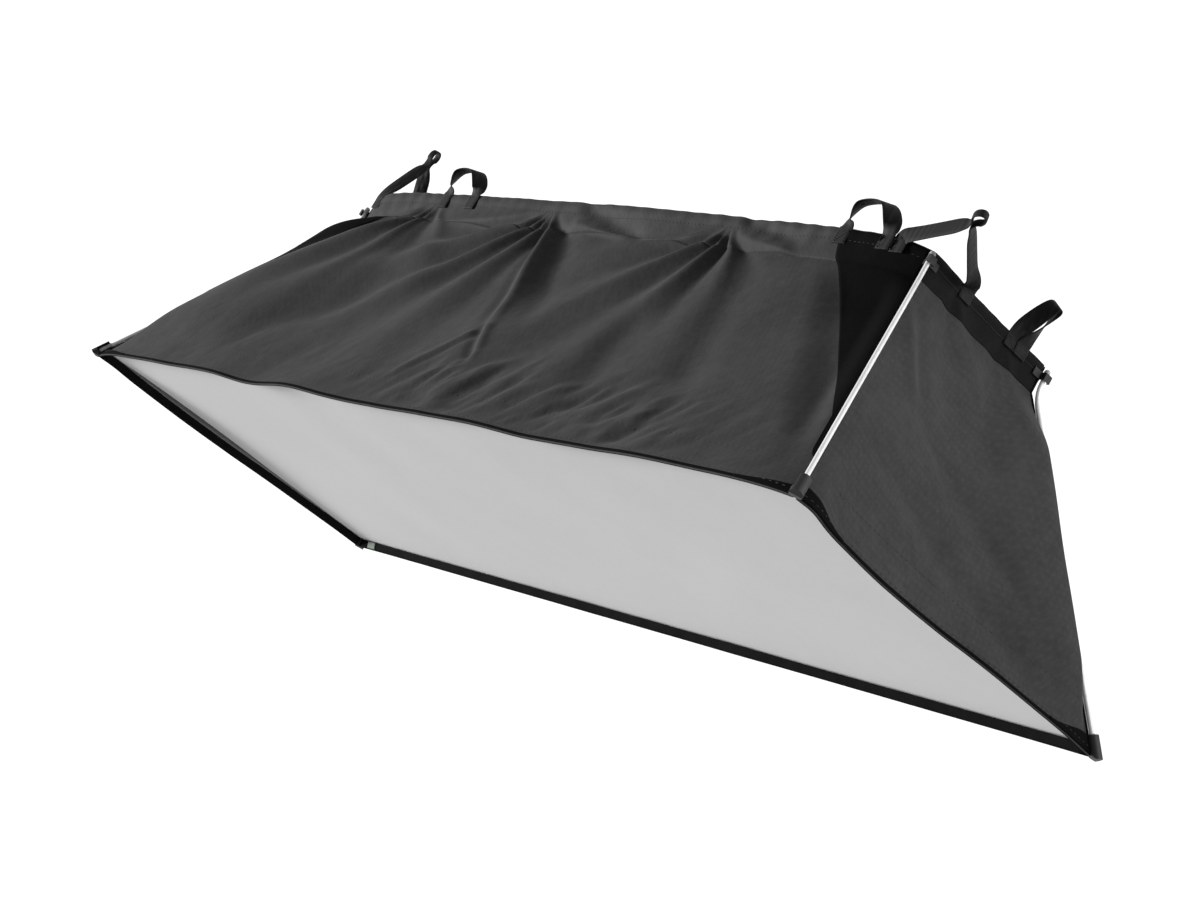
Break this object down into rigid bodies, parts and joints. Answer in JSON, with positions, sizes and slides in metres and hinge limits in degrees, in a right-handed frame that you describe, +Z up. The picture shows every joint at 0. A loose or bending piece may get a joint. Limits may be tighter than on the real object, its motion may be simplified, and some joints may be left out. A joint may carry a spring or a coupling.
{
  "type": "strip softbox",
  "caption": "Long strip softbox: black tapered cloth bag on corner rods, silver inside, recessed white diffuser, rear collar with webbing straps and loops.",
  "frame": {"origin": "centre of the rear opening, in the plane of the rear hem", "axes": "+X along the long side, +Y out through the rear opening towards the light, -Y is where the diffuser faces, +Z up across the short side"},
  "size_m": [1.6264, 0.5334, 0.6068],
  "materials": {
    "outer_cloth": "matt woven nylon",
    "collar_cloth": "matt doubled nylon",
    "silver_lining": "metallised, slightly crinkled",
    "elastic": "woven elastic",
    "hem_cloth": "matt",
    "loop_tape": "napped loops",
    "hook_tape": "stiff hooks",
    "diffuser_cloth": "translucent, flat",
    "corner_fitting": "moulded",
    "rod_fitting": "satin",
    "rod": "smooth glass fibre",
    "tag": "plain woven tag",
    "webbing": "ribbed webbing"
  },
  "bodies": {
    "bag": {"panel_top": "outer_cloth", "panel_bottom": "outer_cloth", "panel_left": "outer_cloth", "panel_right": "outer_cloth", "lining_top": "silver_lining", "lining_bottom": "silver_lining", "lining_left": "silver_lining", "lining_right": "silver_lining", "collar_top": "collar_cloth", "collar_bottom": "collar_cloth", "collar_left": "collar_cloth", "collar_right": "collar_cloth", "collar_elastic": "elastic", "hem_top": "hem_cloth", "hem_bottom": "hem_cloth", "hem_left": "hem_cloth", "hem_right": "hem_cloth", "loop_tape_top": "loop_tape", "loop_tape_bottom": "loop_tape", "loop_tape_left": "loop_tape", "loop_tape_right": "loop_tape", "cup_top_left": "corner_fitting", "cup_top_right": "corner_fitting", "cup_bottom_left": "corner_fitting", "cup_bottom_right": "corner_fitting", "keeper_top_left": "corner_fitting", "keeper_top_right": "corner_fitting", "keeper_bottom_left": "corner_fitting", "keeper_bottom_right": "corner_fitting", "webbing_patches": "webbing", "label": "tag"},
    "diffuser": {"diffuser_cloth": "diffuser_cloth", "hook_tape_top": "hook_tape", "hook_tape_bottom": "hook_tape", "hook_tape_left": "hook_tape", "hook_tape_right": "hook_tape"},
    "rod_top_left": {"rod_top_left": "rod", "rod_tip_top_left": "rod_fitting", "rod_cap_top_left": "rod_fitting"},
    "rod_top_right": {"rod_top_right": "rod", "rod_tip_top_right": "rod_fitting", "rod_cap_top_right": "rod_fitting"},
    "rod_bottom_left": {"rod_bottom_left": "rod", "rod_tip_bottom_left": "rod_fitting", "rod_cap_bottom_left": "rod_fitting"},
    "rod_bottom_right": {"rod_bottom_right": "rod", "rod_tip_bottom_right": "rod_fitting", "rod_cap_bottom_right": "rod_fitting"},
    "strap_left": {"corner_strap_left": "webbing"},
    "strap_right": {"corner_strap_right": "webbing"},
    "webbing_top_left": {"loop_top_left": "webbing"},
    "webbing_top_right": {"loop_top_right": "webbing"},
    "webbing_bottom_left": {"loop_bottom_left": "webbing"},
    "webbing_bottom_right": {"loop_bottom_right": "webbing"},
    "webbing_side_left": {"loop_side_left": "webbing"},
    "webbing_side_right": {"loop_side_right": "webbing"}
  },
  "joints": [
    {"name": "diffuser_pull_off", "type": "slide", "parent": "bag", "child": "diffuser", "axis": [0, -1, 0], "range_m": [0, 0.25]},
    {"name": "rod_swing_top_left", "type": "hinge", "parent": "bag", "child": "rod_top_left", "pos_m": [-0.8005, -0.3993, 0.29108], "axis": [0.6137, -0.5674, -0.5491], "range_deg": [0, 70]},
    {"name": "rod_swing_top_right", "type": "hinge", "parent": "bag", "child": "rod_top_right", "pos_m": [0.8005, -0.3993, 0.29108], "axis": [0.6137, 0.5674, 0.5491], "range_deg": [0, 70]},
    {"name": "rod_swing_bottom_left", "type": "hinge", "parent": "bag", "child": "rod_bottom_left", "pos_m": [-0.8005, -0.3993, -0.29108], "axis": [-0.6137, 0.5674, -0.5491], "range_deg": [0, 70]},
    {"name": "rod_swing_bottom_right", "type": "hinge", "parent": "bag", "child": "rod_bottom_right", "pos_m": [0.8005, -0.3993, -0.29108], "axis": [-0.6137, -0.5674, 0.5491], "range_deg": [0, 70]},
    {"name": "strap_flop_left", "type": "hinge", "parent": "bag", "child": "strap_left", "pos_m": [-0.58, 0, 0.1212], "axis": [0.3789, 0, 0.9254], "range_deg": [-25, 85]},
    {"name": "strap_flop_right", "type": "hinge", "parent": "bag", "child": "strap_right", "pos_m": [0.58, 0, 0.1212], "axis": [0.3789, 0, -0.9254], "range_deg": [-110, 0]},
    {"name": "loop_flop_top_left", "type": "hinge", "parent": "bag", "child": "webbing_top_left", "pos_m": [-0.34, 0, 0.1212], "axis": [1, 0, 0], "range_deg": [-80, 60]},
    {"name": "loop_flop_top_right", "type": "hinge", "parent": "bag", "child": "webbing_top_right", "pos_m": [0.51, 0, 0.1212], "axis": [1, 0, 0], "range_deg": [-80, 60]},
    {"name": "loop_flop_bottom_left", "type": "hinge", "parent": "bag", "child": "webbing_bottom_left", "pos_m": [-0.34, 0, -0.1212], "axis": [-1, 0, 0], "range_deg": [-80, 60]},
    {"name": "loop_flop_bottom_right", "type": "hinge", "parent": "bag", "child": "webbing_bottom_right", "pos_m": [0.51, 0, -0.1212], "axis": [-1, 0, 0], "range_deg": [-80, 60]},
    {"name": "loop_flop_side_left", "type": "hinge", "parent": "bag", "child": "webbing_side_left", "pos_m": [-0.6112, 0, -0.065], "axis": [0, 0, 1], "range_deg": [-94, 46]},
    {"name": "loop_flop_side_right", "type": "hinge", "parent": "bag", "child": "webbing_side_right", "pos_m": [0.6112, 0, -0.065], "axis": [0, 0, -1], "range_deg": [-94, 46]}
  ]
}
